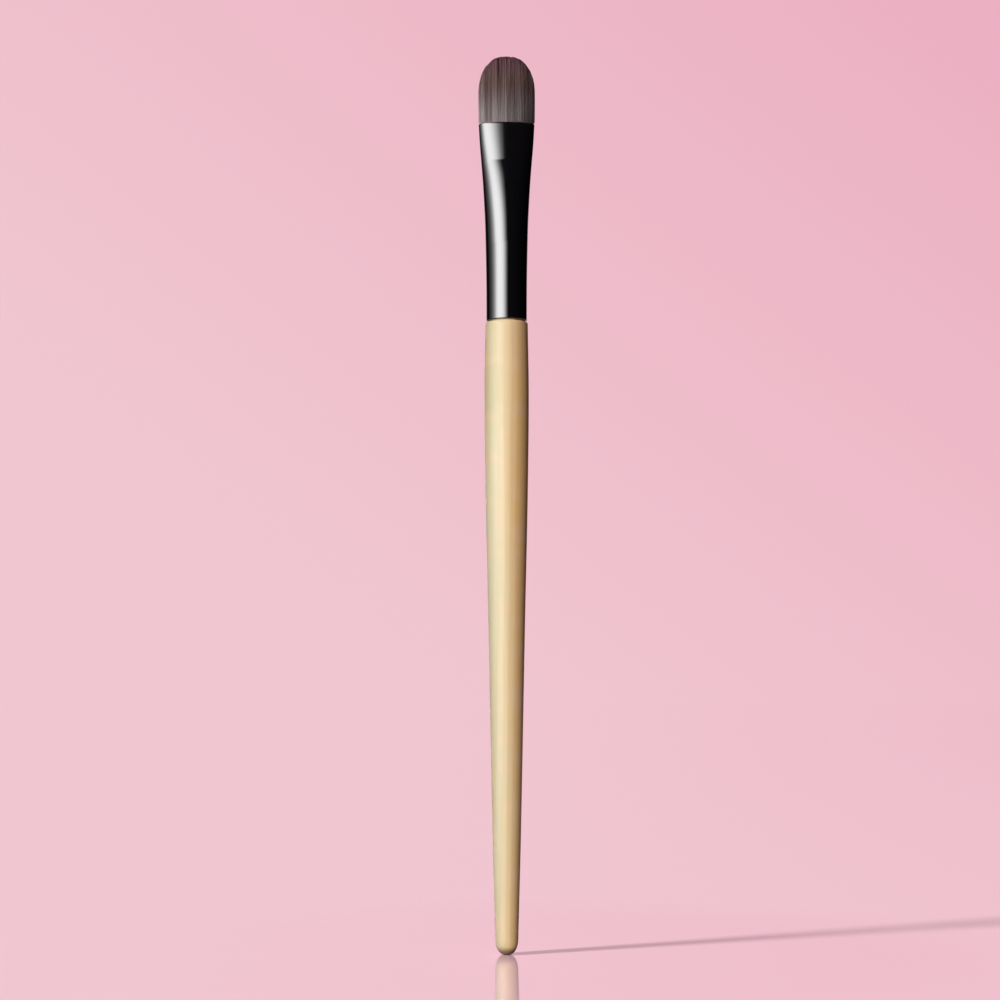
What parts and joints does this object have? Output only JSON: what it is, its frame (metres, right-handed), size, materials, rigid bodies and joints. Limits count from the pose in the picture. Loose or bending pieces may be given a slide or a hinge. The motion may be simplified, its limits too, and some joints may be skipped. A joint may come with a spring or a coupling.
{
  "type": "concealer brush",
  "caption": "Slim make-up brush with a tapered wooden handle, a black metal ferrule pressed flat at its mouth, and a flat domed tuft for spreading concealer.",
  "frame": {"origin": "centre of the small flat on the handle's butt", "axes": "+Z along the brush from the butt to the bristles, X across the width of the flat head, Y through its thickness"},
  "size_m": [0.0112, 0.0086, 0.1749],
  "materials": {
    "pale_wood": "fine straight grain under a clear satin lacquer",
    "black_metal": "glossy black over a thin drawn tube",
    "dark_filament": "fine dark brown synthetic filament with a soft sheen",
    "waxed_thread": "tightly wound waxed thread",
    "cast_resin": "hard amber casting resin",
    "cured_glue": "cured clear yellowish glue"
  },
  "bodies": {
    "root": {"handle": "pale_wood", "ferrule": "black_metal", "bristle_tuft": "dark_filament", "root_thread": "waxed_thread", "root_resin": "cast_resin", "tenon_glue": "cured_glue"}
  },
  "joints": []
}
